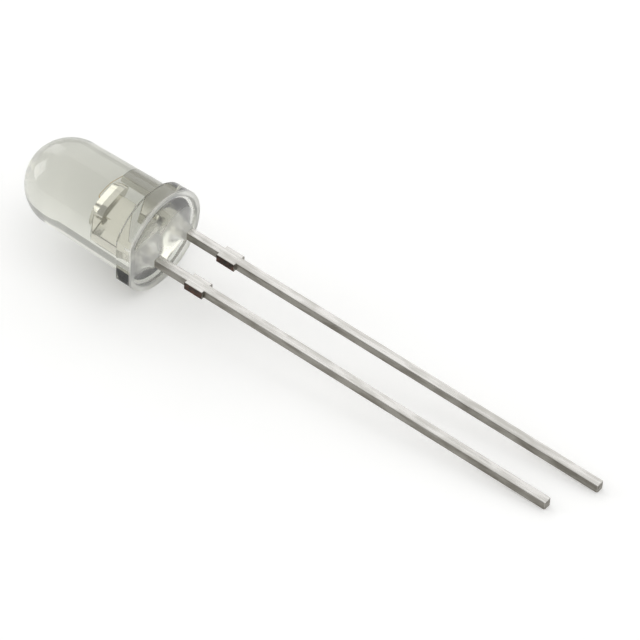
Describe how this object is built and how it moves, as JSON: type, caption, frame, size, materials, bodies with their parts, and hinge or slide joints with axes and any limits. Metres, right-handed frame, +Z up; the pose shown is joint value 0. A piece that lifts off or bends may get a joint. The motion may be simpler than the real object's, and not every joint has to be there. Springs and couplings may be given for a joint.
{
  "type": "phototransistor",
  "caption": "Clear domed through-hole phototransistor with a flanged epoxy body and straight leads, lying as it comes to rest.",
  "frame": {"origin": "on the surface that the device lies on, under the middle of its box", "axes": "+X along the floor under the lens axis, towards the dome; +Z up; the leads lie along -X"},
  "size_m": [0.0352, 0.0056, 0.0059],
  "materials": {
    "clear_epoxy": "gloss",
    "tinned_steel": "satin",
    "silver_adhesive": "matte",
    "silicon": "polished",
    "gold_wire": "polished"
  },
  "bodies": {
    "root": {"lens_body": "clear_epoxy", "collector_lead": "tinned_steel", "emitter_lead": "tinned_steel", "die_attach": "silver_adhesive", "phototransistor_chip": "silicon", "bond_wire": "gold_wire"}
  },
  "joints": []
}
